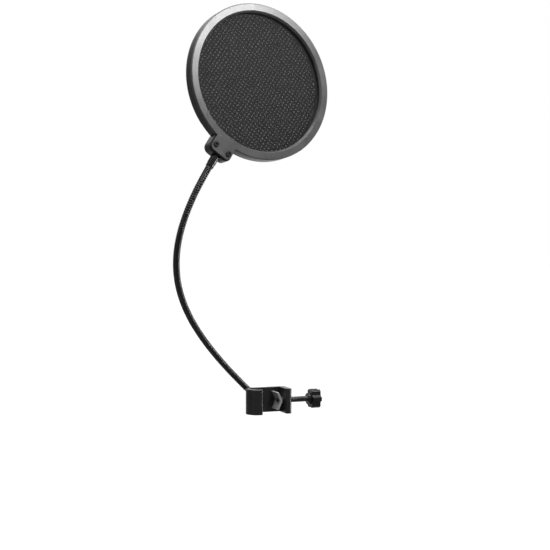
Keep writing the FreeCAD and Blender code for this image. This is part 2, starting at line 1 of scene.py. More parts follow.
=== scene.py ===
"""Looks of the pop filter: woven nets, wound gooseneck, threaded screw, finishes, light and camera.

Metres, in the part's own frame: +Z up the held tube, +X along the clamp screw, -Y towards the talker.
"""

import json
import math

import bmesh
import bpy
import numpy as np
from mathutils import Matrix, Vector

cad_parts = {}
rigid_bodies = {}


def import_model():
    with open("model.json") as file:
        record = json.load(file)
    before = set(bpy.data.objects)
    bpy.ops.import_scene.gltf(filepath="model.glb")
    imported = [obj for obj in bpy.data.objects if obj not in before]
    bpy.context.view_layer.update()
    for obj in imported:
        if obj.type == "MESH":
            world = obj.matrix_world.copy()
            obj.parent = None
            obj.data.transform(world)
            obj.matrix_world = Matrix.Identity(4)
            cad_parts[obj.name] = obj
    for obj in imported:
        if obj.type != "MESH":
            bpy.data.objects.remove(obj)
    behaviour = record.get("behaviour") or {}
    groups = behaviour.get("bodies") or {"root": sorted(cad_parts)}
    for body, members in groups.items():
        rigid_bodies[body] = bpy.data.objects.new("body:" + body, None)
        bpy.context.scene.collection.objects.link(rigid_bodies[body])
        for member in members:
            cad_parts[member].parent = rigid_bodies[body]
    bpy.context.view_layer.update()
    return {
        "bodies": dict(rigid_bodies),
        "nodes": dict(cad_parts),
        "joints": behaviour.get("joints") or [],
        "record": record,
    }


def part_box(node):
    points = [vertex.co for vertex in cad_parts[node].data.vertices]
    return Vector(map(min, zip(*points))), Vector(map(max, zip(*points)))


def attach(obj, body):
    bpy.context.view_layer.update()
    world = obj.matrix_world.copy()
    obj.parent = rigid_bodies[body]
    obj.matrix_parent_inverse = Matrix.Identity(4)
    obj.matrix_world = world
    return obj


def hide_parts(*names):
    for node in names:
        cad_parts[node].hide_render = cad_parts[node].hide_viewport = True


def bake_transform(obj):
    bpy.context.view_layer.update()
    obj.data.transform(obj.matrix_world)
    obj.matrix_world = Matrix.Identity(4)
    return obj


MM = 0.001

# ---- gooseneck --------------------------------------------------------------------------------
NECK_RISE = 44.0            # degrees above level where it leaves the clamp, towards -X
MOUTH = 14.0 * MM           # pivot to the lower ferrule's mouth
START_PULL = 130.9 * MM     # length of the curve's handle at the clamp
END_PULL = 108.9 * MM       # and at the hoop
SWIVEL_FROM_CENTRE = 88.0 * MM
NECK_END = 108.9 * MM       # hoop's centre to the top ferrule's mouth
LINKS = 8
INTO_FERRULE = 4.0 * MM
RAIL_STEP = 1.0 * MM
RAIL_SAMPLES = 4001
NECK_R = 3.55 * MM
WIRE_R = 0.80 * MM
WIRE_PITCH = 2.30 * MM
WIRE_SIDES = 8
FILLER_R = 0.56 * MM
FILLER_SIDES = 6
FILLER_SINK = 0.34 * MM     # how far the filler wire lies below the outside
SPRING_R = 2.05 * MM
SPRING_WIRE_R = 0.34 * MM
SPRING_PITCH = 1.5 * MM
SPRING_SIDES = 4
POINTS_PER_TURN = 14.0

# ---- clamp screw ------------------------------------------------------------------------------
SCREW_R = 3.0 * MM
THREAD_PITCH = 1.0 * MM
THREAD_DEPTH = 0.58 * MM
THREAD_SLOPE = 1.5          # how steep the flanks are, against a plain zigzag
THREAD_ROOT = 0.15          # cuts the zigzag's foot flat
ROWS_PER_TURN = 8.0
SCREW_SIDES = 32
JOURNAL_R = 2.0 * MM
HEAD_R = 2.9 * MM
HEAD_T = 0.8 * MM
FACE_GAP = 0.1 * MM
TURNED_SIDES = 48
SHARP_EDGE = 35.0           # degrees; shallower edges are shaded smooth

# ---- nets -------------------------------------------------------------------------------------
THREAD_SPACING = 0.90 * MM
THREAD_W = 0.64 * MM
THREAD_T = 0.17 * MM
WEAVE = 0.08 * MM           # how far a thread rises and dips over the ones that it crosses
WANDER = 0.45 * MM          # how far the threads stray sideways
WANDER_SCALE = 17.0         # of the noise that moves them, for each metre
HAIR = 0.01                 # of a spacing, so that a thread that lies on a limit is not lost
NET_EDGE = 0.6 * MM         # threads end inside the cut's edge
NETS = (                    # CAD node, turn about the hoop's axis in degrees, seed
    ("mesh_front", 6.0, 3.0),
    ("mesh_rear", -8.0, 8.0),
)

# ---- room -------------------------------------------------------------------------------------
FLOOR_Z = -0.125
FLOOR_HALF = 6.0
SKY_FRONT = 0.22            # the sky's strength as a light, in front of the object and to its left
SKY_BACK = 1.0              # and behind it; the camera sees it at this strength all round
SKY_LEAN = 0.7              # how far the bright side of the sky leans towards +X
SKY_FADE = (0.5, 1.0)
SUN_STRENGTH = 2.9
SUN_SPREAD = 50.0           # degrees
SOFTBOXES = (               # name, place, what it faces, width and height, watts
    ("hoop_glint", (0.18, -0.29, 0.585), (-0.05, -0.04, 0.37), (0.14, 0.20), 2.3),
    ("right_strip", (0.85, -0.30, -0.02), (-0.03, 0.0, 0.12), (0.10, 0.45), 3.5),
    ("left_strip", (-0.9, -0.55, 0.35), (0, 0, 0.1), (0.15, 0.9), 0.5),
)
CAMERA_AT = (-0.4932, -1.2921, 0.19)
CAMERA_TURN = (87.62, 0.0, -21.4)
CAMERA_LENS = 86.5

# ---- finishes ---------------------------------------------------------------------------------
BLACK = (0.010, 0.010, 0.011)
CHARCOAL = (0.024, 0.024, 0.026)
OWN_FINISH = {"rear_shell": "shell_plastic"}    # the hoop's plastic, but blacker


# ---- node trees -------------------------------------------------------------------------------
class Out:
    """A node's output socket. Arithmetic on it adds Math nodes."""

    def __init__(self, graph, socket):
        self.graph = graph
        self.socket = socket

    def math(self, operation, a, b):
        return self.graph.add("ShaderNodeMath", {"operation": operation}, {0: a, 1: b})

    def __add__(self, other):
        return self.math("ADD", self, other)

    __radd__ = __add__

    def __sub__(self, other):
        return self.math("SUBTRACT", self, other)

    def __rsub__(self, other):
        return self.math("SUBTRACT", other, self)

    def __mul__(self, other):
        return self.math("MULTIPLY", self, other)

    __rmul__ = __mul__

    def __truediv__(self, other):
        return self.math("DIVIDE", self, other)

    def __gt__(self, other):
        return self.math("GREATER_THAN", self, other)

    def __lt__(self, other):
        return self.math("LESS_THAN", self, other)

    def function(self, operation):
        return self.graph.add("ShaderNodeMath", {"operation": operation}, {0: self})

    def also(self, name):
        """Another output of the same node."""
        return Out(self.graph, self.socket.node.outputs[name])


class Graph:
    """A node tree, with one method that adds a node."""

    def __init__(self, tree):
        self.tree = tree

    def add(self, kind, settings=None, sockets=None, out=0):
        made = self.tree.nodes.new(kind)
        for name, value in (settings or {}).items():
            setattr(made, name, value)
        for key, value in (sockets or {}).items():
            for one in value if isinstance(value, list) else [value]:
                if isinstance(one, Out):
                    self.tree.links.new(one.socket, made.inputs[key])
                else:
                    made.inputs[key].default_value = one
        return Out(self, made.outputs[out]) if len(made.outputs) else None

    def vector(self, operation, a, b=None, out=0):
        sockets = {0: a} if b is None else {0: a, 1: b}
        return self.add("ShaderNodeVectorMath", {"operation": operation}, sockets, out)

    def scaled(self, a, amount):
        return self.add("ShaderNodeVectorMath", {"operation": "SCALE"}, {0: a, "Scale": amount})


# ---- finishes ---------------------------------------------------------------------------------
class Finish(Graph):
    """A material on Object coordinates, with helpers for what several finishes share."""

    def __init__(self, name):
        self.material = bpy.data.materials.new(name)
        self.material.use_nodes = True
        super().__init__(self.material.node_tree)
        self.tree.nodes.clear()
        self.at = self.add("ShaderNodeTexCoord", out="Object")

    def noise(self, size, detail=3.0, rough=0.55, stretch=None, shift=0.0):
        """Cloudy noise whose lumps are about size metres across, longer along each axis by stretch."""
        where = self.at
        if stretch or shift:
            scale = tuple(1 / s for s in (stretch or (1, 1, 1)))
            where = self.add("ShaderNodeMapping", sockets={"Vector": where, "Scale": scale,
                                                           "Location": (shift, shift, shift)})
        return self.add("ShaderNodeTexNoise", sockets={
            "Vector": where, "Scale": 1 / size, "Detail": detail, "Roughness": rough}, out="Fac")

    def mix(self, dark, light, amount):
        return self.add("ShaderNodeMix", {"data_type": "RGBA"}, {
            0: amount, 6: dark if isinstance(dark, Out) else (*dark, 1.0),
            7: light if isinstance(light, Out) else (*light, 1.0)}, out=2)

    def between(self, value, low, high):
        """Value from low to high, spread over 0 to 1."""
        return self.add("ShaderNodeMapRange", {"clamp": True}, {
            "Value": value, "From Min": low, "From Max": high}, out="Result")

    def soft_edges(self, radius):
        """A normal that rounds the edges where faces meet."""
        return self.add("ShaderNodeBevel", {"samples": 4}, {"Radius": radius})

    def bump(self, height, depth, strength=1.0, normal=None):
        sockets = {"Strength": strength, "Distance": depth, "Height": height}
        if normal is not None:
            sockets["Normal"] = normal
        return self.add("ShaderNodeBump", sockets=sockets)

    def done(self, **sockets):
        shader = self.add("ShaderNodeBsdfPrincipled", sockets={
            key.replace("_", " "): value for key, value in sockets.items()})
        self.add("ShaderNodeOutputMaterial", sockets={"Surface": shader})
        return self.material


def moulded(name, dark, light, gloss, grain, depth, edge=0.25 * MM):
    """Moulded plastic: fine eroded grain, cloudy tone, a few handling rubs, softened edges."""
    f = Finish(name)
    cloud = f.noise(18 * MM, 4)
    pores = f.noise(grain, 2, 0.6)
    rubs = f.between(f.noise(5 * MM, 5, 0.7, (1, 1, 6), 0.31), 0.58, 0.72)
    tone = f.mix(dark, light, f.between(cloud * 0.7 + pores * 0.3, 0.35, 0.65))
    rough = gloss + (cloud - 0.5) * 0.14 + (pores - 0.5) * 0.10 - rubs * 0.06
    normal = f.bump(pores, depth, 0.7, f.soft_edges(edge))
    return f.done(Base_Color=tone, Roughness=rough, Normal=normal)


def brushed(name, dark, light, gloss, lines, metallic=1.0, depth=0.01 * MM, edge=0.12 * MM):
    """Metal brushed along one axis, with cloudy tarnish; lines stretches the scratches."""
    f = Finish(name)
    strokes = f.noise(0.16 * MM, 3, 0.7, lines)
    broad = f.noise(0.7 * MM, 2, 0.5, lines, 0.17)
    cloud = f.noise(7 * MM, 3, 0.5)
    tone = f.mix(dark, light, f.between(strokes * 0.5 + broad * 0.3 + cloud * 0.2, 0.3, 0.7))
    rough = gloss + (strokes - 0.5) * 0.20 + (cloud - 0.5) * 0.10
    normal = f.bump(strokes, depth, 0.8, f.soft_edges(edge))
    return f.done(Base_Color=tone, Roughness=rough, Metallic=metallic, Normal=normal)


def plated(name, dark, light, gloss, metallic=1.0, edge=0.12 * MM):
    """Turned and plated metal: fine turning marks with duller patches."""
    f = Finish(name)
    marks = f.noise(0.25 * MM, 3, 0.6)
    patches = f.between(f.noise(2.5 * MM, 4, 0.6, shift=0.4), 0.4, 0.65)
    tone = f.mix(dark, light, marks * 0.5 + patches * 0.5)
    rough = gloss + (marks - 0.5) * 0.15 + patches * 0.08
    normal = f.bump(marks, 0.006 * MM, 0.6, f.soft_edges(edge))
    return f.done(Base_Color=tone, Roughness=rough, Metallic=metallic, Normal=normal)


def lacquered(name, dark, light, gloss, ripple, edge=0.2 * MM):
    """Black lacquer over metal: a glossy coat with faint orange peel and dust-dulled spots."""
    f = Finish(name)
    peel = f.noise(ripple, 2, 0.4)
    dust = f.between(f.noise(3.5 * MM, 5, 0.65, shift=0.23), 0.5, 0.75)
    tone = f.mix(dark, light, dust * 0.7 + peel * 0.3)
    rough = gloss + dust * 0.16 + (peel - 0.5) * 0.06
    normal = f.bump(peel, 0.012 * MM, 0.5, f.soft_edges(edge))
    return f.done(Base_Color=tone, Roughness=rough, Metallic=0.15, Normal=normal, Coat_Weight=0.35,
                  Coat_Roughness=0.12)


def woven_nylon(name):
    """Black monofilament yarn, its tone and roughness varied by fine streaky noise and broad cloud."""
    f = Finish(name)
    strands = f.noise(0.12 * MM, 2, 0.6, (1, 1, 3))
    cloud = f.noise(22 * MM, 3)
    tone = f.mix((0.005, 0.005, 0.006), (0.016, 0.016, 0.017), strands * 0.6 + cloud * 0.4)
    rough = 0.52 + (strands - 0.5) * 0.2
    normal = f.bump(strands, 0.02 * MM, 0.6)
    return f.done(Base_Color=tone, Roughness=rough, Normal=normal, Specular_IOR_Level=0.3)


def rubber(name):
    """Dull black rubber with a talc bloom."""
    f = Finish(name)
    bloom = f.noise(3 * MM, 5, 0.65)
    grit = f.noise(0.18 * MM, 2)
    tone = f.mix((0.012, 0.012, 0.012), (0.045, 0.043, 0.041), f.between(bloom, 0.4, 0.7))
    normal = f.bump(grit, 0.03 * MM, 0.8, f.soft_edges(0.3 * MM))
    return f.done(Base_Color=tone, Roughness=0.78 + (bloom - 0.5) * 0.2, Normal=normal)


def make_finishes():
    """A material for each material slot of the record, and one for each finish in OWN_FINISH."""
    recipes = (
        (moulded, "clamp_plastic", dict(
            dark=BLACK, light=CHARCOAL, gloss=0.28, grain=0.22 * MM, depth=0.015 * MM, edge=0.5 * MM)),
        (moulded, "knob_plastic", dict(
            dark=(0.005, 0.005, 0.006), light=BLACK, gloss=0.17, grain=0.28 * MM, depth=0.012 * MM,
            edge=0.4 * MM)),
        (moulded, "hoop_plastic", dict(
            dark=(0.050, 0.050, 0.052), light=(0.078, 0.078, 0.081), gloss=0.30, grain=0.20 * MM,
            depth=0.012 * MM, edge=0.3 * MM)),
        (moulded, "shell_plastic", dict(
            dark=(0.012, 0.012, 0.013), light=(0.028, 0.028, 0.030), gloss=0.30, grain=0.20 * MM,
            depth=0.012 * MM, edge=0.3 * MM)),
        (moulded, "spacer_plastic", dict(
            dark=BLACK, light=CHARCOAL, gloss=0.5, grain=0.25 * MM, depth=0.02 * MM)),
        (moulded, "washer_nylon", dict(
            dark=BLACK, light=(0.032, 0.032, 0.033), gloss=0.5, grain=0.3 * MM, depth=0.015 * MM)),
        (rubber, "pad_rubber", {}),
        (woven_nylon, "mesh_nylon", {}),
        (brushed, "bush_brass", dict(
            dark=(0.42, 0.29, 0.12), light=(0.62, 0.45, 0.21), gloss=0.30, lines=(1, 1, 1))),
        (brushed, "plate_steel", dict(
            dark=(0.34, 0.34, 0.34), light=(0.62, 0.62, 0.61), gloss=0.46, lines=(1, 14, 1), metallic=0.35)),
        (plated, "screw_steel", dict(dark=(0.09, 0.09, 0.09), light=(0.24, 0.24, 0.235), gloss=0.30)),
        (plated, "zinc_steel", dict(dark=(0.42, 0.43, 0.45), light=(0.62, 0.62, 0.62), gloss=0.30)),
        (plated, "black_steel", dict(
            dark=(0.006, 0.006, 0.006), light=(0.02, 0.02, 0.021), gloss=0.25, metallic=0.3)),
        (plated, "spring_steel", dict(dark=(0.2, 0.2, 0.2), light=(0.4, 0.4, 0.4), gloss=0.34)),
        (lacquered, "ferrule_lacquer", dict(
            dark=(0.006, 0.006, 0.006), light=(0.016, 0.016, 0.017), gloss=0.10, ripple=0.9 * MM)),
        (lacquered, "neck_lacquer", dict(
            dark=(0.007, 0.007, 0.008), light=(0.022, 0.022, 0.023), gloss=0.16, ripple=0.5 * MM,
            edge=0.05 * MM)),
    )
    return {name: maker(name, **recipe) for maker, name, recipe in recipes}


# ---- pieces grown by Geometry Nodes -----------------------------------------------------------
def shape_tree(name, inputs):
    """A Geometry Nodes tree with named inputs; returns its graph and one Out for each input."""
    tree = bpy.data.node_groups.new(name, "GeometryNodeTree")
    tree.interface.new_socket("Geometry", in_out="INPUT", socket_type="NodeSocketGeometry")
    for label, kind in inputs:
        tree.interface.new_socket(label, in_out="INPUT", socket_type=f"NodeSocket{kind}")
    tree.interface.new_socket("Geometry", in_out="OUTPUT", socket_type="NodeSocketGeometry")
    graph = Graph(tree)
    first = graph.add("NodeGroupInput")
    return graph, {label: first.also(label) for label in ["Geometry"] + [i[0] for i in inputs]}


def close_tree(graph, geometry, finish):
    """Ends a tree: shade smooth, set the material, make instances real."""
    smooth = graph.add("GeometryNodeSetShadeSmooth", sockets={"Geometry": geometry})
    painted = graph.add("GeometryNodeSetMaterial", sockets={"Geometry": smooth, "Material": finish})
    real = graph.add("GeometryNodeRealizeInstances", sockets={"Geometry": painted})
    graph.add("NodeGroupOutput", sockets={"Geometry": real})
    return graph.tree


def grow(tree, name, values, line=()):
    """Runs a tree on a line of points and returns the result as a plain mesh object."""
    mesh = bpy.data.meshes.new(name)
    mesh.from_pydata([tuple(p) for p in line], [(i, i + 1) for i in range(len(line) - 1)], [])
    carrier = bpy.data.objects.new(f"{name}_carrier", mesh)
    bpy.context.scene.collection.objects.link(carrier)
    modifier = carrier.modifiers.new("shape", "NODES")
    modifier.node_group = tree
    for item in tree.interface.items_tree:
        if item.item_type == "SOCKET" and item.in_out == "INPUT" and item.name in values:
            modifier[item.identifier] = values[item.name]
    ready = carrier.evaluated_get(bpy.context.evaluated_depsgraph_get())
    grown = bpy.data.meshes.new_from_object(ready)
    bpy.data.objects.remove(carrier)
    bpy.data.meshes.remove(mesh)
    grown.name = name
    made = bpy.data.objects.new(name, grown)
    bpy.context.scene.collection.objects.link(made)
    return made


def helix(graph, rail, start, pitch, radius, wire, phase, sides):
    """A wire wound round a rail. start is the rail's place on the whole neck, so that the turns carry on."""
    turns = graph.add("GeometryNodeCurveLength", sockets={"Curve": rail}) / pitch
    steps = graph.add("GeometryNodeResampleCurve", sockets={"Curve": rail, "Count": turns * POINTS_PER_TURN})
    along = graph.add("GeometryNodeSplineParameter", out="Length") + start
    angle = along / pitch * (2 * math.pi) + phase
    tangent = graph.add("GeometryNodeInputTangent")
    side = graph.vector("NORMALIZE", graph.vector("CROSS_PRODUCT", tangent, (0.0, 1.0, 0.0)))
    up = graph.vector("CROSS_PRODUCT", tangent, side)
    out = graph.vector("ADD", graph.scaled(side, angle.function("COSINE") * radius),
                       graph.scaled(up, angle.function("SINE") * radius))
    wound = graph.add("GeometryNodeSetPosition", sockets={"Geometry": steps, "Offset": out})
    section = graph.add("GeometryNodeCurvePrimitiveCircle", sockets={
        "Resolution": sides, "Radius": wire})
    return graph.add("GeometryNodeCurveToMesh", sockets={
        "Curve": wound, "Profile Curve": section, "Fill Caps": True})


def neck_wire_tree():
    """Round wire wound into the outside of the gooseneck, with a thinner filler wire in its groove."""
    graph, given = shape_tree("gooseneck wire", [
        ("Start", "Float"), ("Pitch", "Float"), ("Outside Radius", "Float"), ("Wire Radius", "Float"),
        ("Filler Radius", "Float"), ("Filler Sink", "Float"), ("Finish", "Material")])
    rail = graph.add("GeometryNodeMeshToCurve", sockets={"Mesh": given["Geometry"]})
    start, pitch, outside = given["Start"], given["Pitch"], given["Outside Radius"]
    wire_r, filler_r = given["Wire Radius"], given["Filler Radius"]
    wire = helix(graph, rail, start, pitch, outside - wire_r, wire_r, 0.0, WIRE_SIDES)
    filler = helix(graph, rail, start, pitch, outside - given["Filler Sink"] - filler_r, filler_r, math.pi,
                   FILLER_SIDES)
    both = graph.add("GeometryNodeJoinGeometry", sockets={"Geometry": [wire, filler]})
    return close_tree(graph, both, given["Finish"])


def neck_spring_tree():
    """The inner spring: one wire, wound the other way."""
    graph, given = shape_tree("inner spring", [
        ("Start", "Float"), ("Pitch", "Float"), ("Radius", "Float"), ("Wire Radius", "Float"),
        ("Finish", "Material")])
    rail = graph.add("GeometryNodeMeshToCurve", sockets={"Mesh": given["Geometry"]})
    wire = helix(graph, rail, given["Start"], given["Pitch"], given["Radius"], given["Wire Radius"], 0.0,
                 SPRING_SIDES)
    return close_tree(graph, wire, given["Finish"])


def net_tree():
    """Half a round net of plain weave: each thread passes over and under the ones that it crosses."""
    graph, given = shape_tree("woven net", [
        ("Radius", "Float"), ("Spacing", "Float"), ("Thread Width", "Float"), ("Thread Height", "Float"),
        ("Weave", "Float"), ("Wander", "Float"), ("Side", "Float"), ("Seed", "Float"),
        ("Finish", "Material")])
    spacing = given["Spacing"]
    count = (given["Radius"] / spacing).function("CEIL") * 2.0
    size = count * spacing
    place = graph.add("GeometryNodeInputPosition")
    split = graph.add("ShaderNodeSeparateXYZ", sockets={"Vector": place})
    x, y = split, split.also("Y")
    from_centre = graph.vector("LENGTH", place, out="Value")
    ends = graph.add("GeometryNodeInputMeshEdgeVertices")
    run = graph.vector("ABSOLUTE", graph.vector(
        "SUBTRACT", ends.also("Position 1"), ends.also("Position 2")))
    spread = graph.add("ShaderNodeSeparateXYZ", sockets={"Vector": run})
    parity = ((x + y) / spacing * math.pi).function("COSINE")
    wave = graph.add("ShaderNodeTexNoise", {"noise_dimensions": "4D"}, {
        "Vector": place, "W": given["Seed"], "Scale": WANDER_SCALE, "Detail": 1.0}, out="Color")
    drift = graph.scaled(graph.vector("SUBTRACT", wave, (0.5, 0.5, 0.5)), given["Wander"] * 2.0)
    flat = graph.vector("MULTIPLY", drift, (1.0, 1.0, 0.0))
    section = graph.add("GeometryNodeCurvePrimitiveCircle", sockets={"Resolution": 3, "Radius": 1.0})
    section = graph.add("GeometryNodeTransform", sockets={
        "Geometry": section, "Scale": graph.add("ShaderNodeCombineXYZ", sockets={
            "X": given["Thread Width"] / math.sqrt(3), "Y": given["Thread Height"] / 1.5, "Z": 1.0})})
    # a thread on the middle line belongs to the half at -X
    first_column = (given["Side"] + 1.0) * spacing * 0.25
    sets = []
    for across, limit, sign in ((spread.also("Y"), spacing * -HAIR, 1.0),
                                (spread, first_column - spacing * HAIR, -1.0)):
        grid = graph.add("GeometryNodeMeshGrid", sockets={
            "Size X": size, "Size Y": size, "Vertices X": count + 1.0, "Vertices Y": count + 1.0})
        outside = (from_centre > given["Radius"]) + (x * given["Side"] < limit)
        kept = graph.add("GeometryNodeDeleteGeometry", {"domain": "POINT", "mode": "ALL"}, {
            "Geometry": grid, "Selection": outside})
        one_way = graph.add("GeometryNodeDeleteGeometry", {"domain": "EDGE", "mode": "EDGE_FACE"}, {
            "Geometry": kept, "Selection": across > spacing * 0.5})
        lines = graph.add("GeometryNodeMeshToCurve", sockets={"Mesh": one_way})
        lift = graph.add("ShaderNodeCombineXYZ", sockets={
            "X": 0.0, "Y": 0.0, "Z": parity * given["Weave"] * sign})
        laid = graph.add("GeometryNodeSetPosition", sockets={
            "Geometry": lines, "Offset": graph.vector("ADD", lift, flat)})
        level = graph.add("GeometryNodeSetCurveNormal", {"mode": "Z_UP"}, {"Curve": laid})
        sets.append(graph.add("GeometryNodeCurveToMesh", sockets={
            "Curve": level, "Profile Curve": section, "Fill Caps": True}))
    both = graph.add("GeometryNodeJoinGeometry", sockets={"Geometry": sets})
    return close_tree(graph, both, given["Finish"])


def rod_tree():
    """A threaded rod along X: a sheet of points rolled up, its radius a clipped zigzag along the helix."""
    graph, given = shape_tree("threaded rod", [
        ("Start", "Float"), ("Length", "Float"), ("Pitch", "Float"), ("Radius", "Float"),
        ("Depth", "Float"), ("Finish", "Material")])
    length, pitch = given["Length"], given["Pitch"]
    grid = graph.add("GeometryNodeMeshGrid", sockets={
        "Size X": length, "Size Y": 1.0, "Vertices X": length / pitch * ROWS_PER_TURN + 1.0,
        "Vertices Y": SCREW_SIDES + 1})
    place = graph.add("GeometryNodeInputPosition")
    split = graph.add("ShaderNodeSeparateXYZ", sockets={"Vector": place})
    along = split + length * 0.5
    turn = split.also("Y") + 0.5
    saw = (along / pitch - turn).function("FRACT")
    ridge = 1.0 - (saw * 2.0 - 1.0).function("ABSOLUTE")
    crest = graph.add("ShaderNodeClamp", sockets={"Value": ridge * THREAD_SLOPE - THREAD_ROOT})
    from_end = graph.add("ShaderNodeMath", {"operation": "MINIMUM"}, {0: along, 1: length - along})
    runout = graph.add("ShaderNodeClamp", sockets={"Value": from_end / pitch})
    root = given["Radius"] - given["Depth"]
    radius = root + crest * runout * given["Depth"]
    angle = turn * (2 * math.pi)
    rolled = graph.add("ShaderNodeCombineXYZ", sockets={
        "X": along + given["Start"], "Y": angle.function("COSINE") * radius,
        "Z": angle.function("SINE") * radius})
    thread = graph.add("GeometryNodeSetPosition", sockets={"Geometry": grid, "Position": rolled})
    thread = graph.add("GeometryNodeMergeByDistance", sockets={"Geometry": thread, "Distance": 0.00001})
    core = graph.add("GeometryNodeMeshCylinder", sockets={
        "Vertices": SCREW_SIDES, "Radius": root, "Depth": length})
    middle = graph.add("ShaderNodeCombineXYZ", sockets={
        "X": given["Start"] + length * 0.5, "Y": 0.0, "Z": 0.0})
    core = graph.add("GeometryNodeTransform", sockets={
        "Geometry": core, "Translation": middle, "Rotation": (0.0, math.pi / 2, 0.0)})
    both = graph.add("GeometryNodeJoinGeometry", sockets={"Geometry": [thread, core]})
    return close_tree(graph, both, given["Finish"])


# ---- gooseneck --------------------------------------------------------------------------------
def joint(frame, name):
    return next(j for j in frame["joints"] if j["name"] == name)


class NeckLine:
    """The gooseneck's centre line by length: a cubic, with a straight run into each ferrule."""

    def __init__(self, frame):
        rise = math.radians(NECK_RISE)
        self.out = np.array([-math.cos(rise), 0.0, math.sin(rise)])
        self.ear = np.array(joint(frame, "hoop_swivel")["axis"], float)
        pivot = np.array(joint(frame, "arm_pivot")["pos_m"], float)
        centre = np.array(joint(frame, "hoop_swivel")["pos_m"], float) - self.ear * SWIVEL_FROM_CENTRE
        start = pivot + self.out * MOUTH
        end = centre + self.ear * NECK_END
        pulls = np.array([start, start + self.out * START_PULL, end + self.ear * END_PULL, end])
        t = np.linspace(0, 1, RAIL_SAMPLES)[:, None]
        weights = np.hstack([(1 - t) ** 3, 3 * (1 - t) ** 2 * t, 3 * (1 - t) * t ** 2, t ** 3])
        self.points = weights @ pulls
        steps = np.linalg.norm(np.diff(self.points, axis=0), axis=1)
        self.run = np.concatenate([[0.0], np.cumsum(steps)])
        self.length = float(self.run[-1])

    def at(self, s):
        """The point s metres along the line; s may run on past either end."""
        if s < 0:
            return self.points[0] + self.out * s
        if s > self.length:
            return self.points[-1] - self.ear * (s - self.length)
        return np.array([np.interp(s, self.run, self.points[:, i]) for i in range(3)])

    def stretch(self, start, end):
        """The line's points from start to end."""
        count = max(2, int(round((end - start) / RAIL_STEP)) + 1)
        return [self.at(s) for s in np.linspace(start, end, count)]


def make_gooseneck(frame, finishes):
    """Wound wire and inner spring in nine lengths: an end in each ferrule, and one across each hinge."""
    line = NeckLine(frame)
    wire = neck_wire_tree()
    spring = neck_spring_tree()
    link = line.length / LINKS
    cuts = [-INTO_FERRULE] + [(k + 0.5) * link for k in range(LINKS)] + [line.length + INTO_FERRULE]
    for k, (start, end) in enumerate(zip(cuts, cuts[1:])):
        path = line.stretch(start, end)
        outer = grow(wire, f"neck_wire_{k + 1}", {
            "Start": start, "Pitch": WIRE_PITCH, "Outside Radius": NECK_R, "Wire Radius": WIRE_R,
            "Filler Radius": FILLER_R, "Filler Sink": FILLER_SINK, "Finish": finishes["neck_lacquer"]}, path)
        inner = grow(spring, f"neck_spring_{k + 1}", {
            "Start": -start, "Pitch": -SPRING_PITCH, "Radius": SPRING_R - 2 * SPRING_WIRE_R,
            "Wire Radius": SPRING_WIRE_R, "Finish": finishes["spring_steel"]}, path)
        for piece, node, slot in ((outer, "neck_winding", "neck_lacquer"),
                                  (inner, "neck_core", "spring_steel")):
            if 0 < k < LINKS:
                f"neck_{k + 1}"
                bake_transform(piece)
            else:
                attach(piece, f"neck_{min(k + 1, LINKS)}")
            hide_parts(f"{node}_{min(k + 1, LINKS)}")


# ---- clamp screw ------------------------------------------------------------------------------
def make_screw(finishes):
    """A real thread, with the journal through washer and plate and the peened head."""
    low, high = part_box("clamp_screw")
    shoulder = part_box("thrust_washer")[1].x + FACE_GAP
    rod = grow(rod_tree(), "clamp_rod", {
        "Start": shoulder, "Length": high.x - shoulder, "Pitch": THREAD_PITCH, "Radius": SCREW_R,
        "Depth": THREAD_DEPTH, "Finish": finishes["screw_steel"]})
    journal = turned("clamp_rod_journal", [
        (0.0, low.x), (HEAD_R - HEAD_T * 0.45, low.x), (HEAD_R - HEAD_T * 0.12, low.x + HEAD_T * 0.15),
        (HEAD_R, low.x + HEAD_T * 0.5), (HEAD_R, low.x + HEAD_T), (JOURNAL_R, low.x + HEAD_T),
        (JOURNAL_R, shoulder + FACE_GAP), (0.0, shoulder + FACE_GAP)])
    journal.data.materials.append(finishes["screw_steel"])
    for piece in (rod, journal):
        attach(piece, "screw")
        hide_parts("clamp_screw")


def turned(name, profile, around=TURNED_SIDES):
    """Revolves a closed outline of (radius, x) about the X axis."""
    angles = np.linspace(0, 2 * math.pi, around, endpoint=False)
    points, faces = [], []
    for r, x in profile:
        points += [(x, r * math.cos(a), r * math.sin(a)) for a in angles]
    for i in range(len(profile) - 1):
        for k in range(around):
            n = (k + 1) % around
            faces.append((i * around + k, i * around + n, (i + 1) * around + n, (i + 1) * around + k))
    mesh = bpy.data.meshes.new(name)
    mesh.from_pydata(points, [], faces)
    made = bpy.data.objects.new(name, mesh)
    bpy.context.scene.collection.objects.link(made)
    tidy_mesh(mesh)
    return made


def tidy_mesh(mesh):
    """Merges doubles, turns the faces outwards and smooths between shallow angles."""
    work = bmesh.new()
    work.from_mesh(mesh)
    bmesh.ops.remove_doubles(work, verts=work.verts, dist=1e-7)
    bmesh.ops.dissolve_degenerate(work, edges=work.edges, dist=1e-8)
    bmesh.ops.recalc_face_normals(work, faces=work.faces)
    work.to_mesh(mesh)
    work.free()
    mesh.shade_smooth()
    mesh.set_sharp_from_angle(angle=math.radians(SHARP_EDGE))


